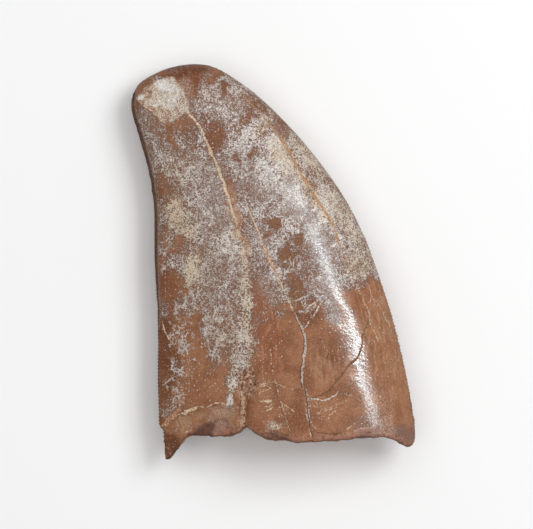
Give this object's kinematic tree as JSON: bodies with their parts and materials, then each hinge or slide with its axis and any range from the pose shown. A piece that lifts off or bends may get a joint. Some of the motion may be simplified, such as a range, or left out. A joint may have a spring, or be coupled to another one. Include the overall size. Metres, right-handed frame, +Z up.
{
  "type": "fossil dinosaur tooth",
  "caption": "Fossil crown of a large meat-eating dinosaur's tooth, recurved and blade-like, with a worn tip and a broken base, lying on its side.",
  "frame": {"origin": "middle of the footprint, at the height of the surface that the tooth lies on", "axes": "+X across the blade from the hind cutting edge to the front one, +Y from the broken base to the worn tip, +Z up through the blade's thickness"},
  "size_m": [0.0434, 0.06, 0.0149],
  "materials": {
    "fossil_enamel": "satin brown fossil enamel under a patchy net of off-white mineral crust, with cream fillings in its cracks and dull dentine in the break"
  },
  "bodies": {
    "root": {"tooth": "fossil_enamel"}
  },
  "joints": []
}
